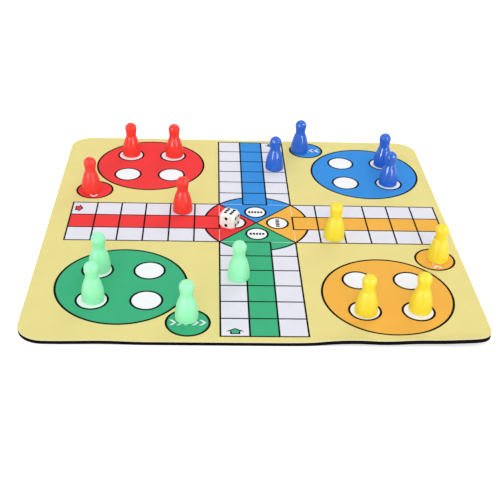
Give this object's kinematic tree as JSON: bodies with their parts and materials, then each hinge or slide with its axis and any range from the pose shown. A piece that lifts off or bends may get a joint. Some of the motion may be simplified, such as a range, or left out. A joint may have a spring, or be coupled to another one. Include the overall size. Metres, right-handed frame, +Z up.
{
  "type": "ludo play mat",
  "caption": "Soft square ludo mat, printed cloth on a rubber base, set out with coloured pawns and a die that lift off for play",
  "frame": {"origin": "middle of the mat's underside, on the table", "axes": "+Z up, +X to the right arm of the board (amber), +Y to the back arm (blue)"},
  "size_m": [0.2592, 0.2512, 0.0275],
  "materials": {
    "rubber": "black foamed rubber, matt, fine pores on the cut edge and a fine texture underneath",
    "cloth": "smooth white knitted polyester cloth bonded to the rubber",
    "cream_ink": "cream yellow dye print on the cloth",
    "red_ink": "red dye print on the cloth",
    "blue_ink": "sky blue dye print on the cloth",
    "amber_ink": "amber dye print on the cloth",
    "green_ink": "sea green dye print on the cloth",
    "white_ink": "cloth left white, with a faint lavender tone",
    "black_ink": "black dye print lines",
    "red_plastic": "glossy moulded plastic, slightly see-through red",
    "blue_plastic": "glossy moulded plastic, slightly see-through blue",
    "yellow_plastic": "satin moulded plastic, milky lemon yellow",
    "green_plastic": "satin moulded plastic, milky mint green",
    "ivory_plastic": "polished ivory white plastic",
    "pip_paint": "black paint in the dished pips"
  },
  "bodies": {
    "mat": {"rubber_base": "rubber", "cloth_face": "cloth", "cream_print": "cream_ink", "red_print": "red_ink", "blue_print": "blue_ink", "amber_print": "amber_ink", "green_print": "green_ink", "white_print": "white_ink", "line_print": "black_ink"},
    "red_pawn_1": {"red_pawn_1": "red_plastic"},
    "red_pawn_2": {"red_pawn_2": "red_plastic"},
    "red_pawn_3": {"red_pawn_3": "red_plastic"},
    "red_pawn_4": {"red_pawn_4": "red_plastic"},
    "blue_pawn_1": {"blue_pawn_1": "blue_plastic"},
    "blue_pawn_2": {"blue_pawn_2": "blue_plastic"},
    "blue_pawn_3": {"blue_pawn_3": "blue_plastic"},
    "blue_pawn_4": {"blue_pawn_4": "blue_plastic"},
    "yellow_pawn_1": {"yellow_pawn_1": "yellow_plastic"},
    "yellow_pawn_2": {"yellow_pawn_2": "yellow_plastic"},
    "yellow_pawn_3": {"yellow_pawn_3": "yellow_plastic"},
    "yellow_pawn_4": {"yellow_pawn_4": "yellow_plastic"},
    "green_pawn_1": {"green_pawn_1": "green_plastic"},
    "green_pawn_2": {"green_pawn_2": "green_plastic"},
    "green_pawn_3": {"green_pawn_3": "green_plastic"},
    "green_pawn_4": {"green_pawn_4": "green_plastic"},
    "die": {"die": "ivory_plastic", "die_pips": "pip_paint"}
  },
  "joints": [
    {"name": "red_pawn_1_lift", "type": "slide", "parent": "mat", "child": "red_pawn_1", "axis": [0, 0, 1], "range_m": [0, 0.05]},
    {"name": "red_pawn_2_lift", "type": "slide", "parent": "mat", "child": "red_pawn_2", "axis": [0, 0, 1], "range_m": [0, 0.05]},
    {"name": "red_pawn_3_lift", "type": "slide", "parent": "mat", "child": "red_pawn_3", "axis": [0, 0, 1], "range_m": [0, 0.05]},
    {"name": "red_pawn_4_lift", "type": "slide", "parent": "mat", "child": "red_pawn_4", "axis": [0, 0, 1], "range_m": [0, 0.05]},
    {"name": "blue_pawn_1_lift", "type": "slide", "parent": "mat", "child": "blue_pawn_1", "axis": [0, 0, 1], "range_m": [0, 0.05]},
    {"name": "blue_pawn_2_lift", "type": "slide", "parent": "mat", "child": "blue_pawn_2", "axis": [0, 0, 1], "range_m": [0, 0.05]},
    {"name": "blue_pawn_3_lift", "type": "slide", "parent": "mat", "child": "blue_pawn_3", "axis": [0, 0, 1], "range_m": [0, 0.05]},
    {"name": "blue_pawn_4_lift", "type": "slide", "parent": "mat", "child": "blue_pawn_4", "axis": [0, 0, 1], "range_m": [0, 0.05]},
    {"name": "yellow_pawn_1_lift", "type": "slide", "parent": "mat", "child": "yellow_pawn_1", "axis": [0, 0, 1], "range_m": [0, 0.05]},
    {"name": "yellow_pawn_2_lift", "type": "slide", "parent": "mat", "child": "yellow_pawn_2", "axis": [0, 0, 1], "range_m": [0, 0.05]},
    {"name": "yellow_pawn_3_lift", "type": "slide", "parent": "mat", "child": "yellow_pawn_3", "axis": [0, 0, 1], "range_m": [0, 0.05]},
    {"name": "yellow_pawn_4_lift", "type": "slide", "parent": "mat", "child": "yellow_pawn_4", "axis": [0, 0, 1], "range_m": [0, 0.05]},
    {"name": "green_pawn_1_lift", "type": "slide", "parent": "mat", "child": "green_pawn_1", "axis": [0, 0, 1], "range_m": [0, 0.05]},
    {"name": "green_pawn_2_lift", "type": "slide", "parent": "mat", "child": "green_pawn_2", "axis": [0, 0, 1], "range_m": [0, 0.05]},
    {"name": "green_pawn_3_lift", "type": "slide", "parent": "mat", "child": "green_pawn_3", "axis": [0, 0, 1], "range_m": [0, 0.05]},
    {"name": "green_pawn_4_lift", "type": "slide", "parent": "mat", "child": "green_pawn_4", "axis": [0, 0, 1], "range_m": [0, 0.05]},
    {"name": "die_lift", "type": "slide", "parent": "mat", "child": "die", "axis": [0, 0, 1], "range_m": [0, 0.05]}
  ]
}
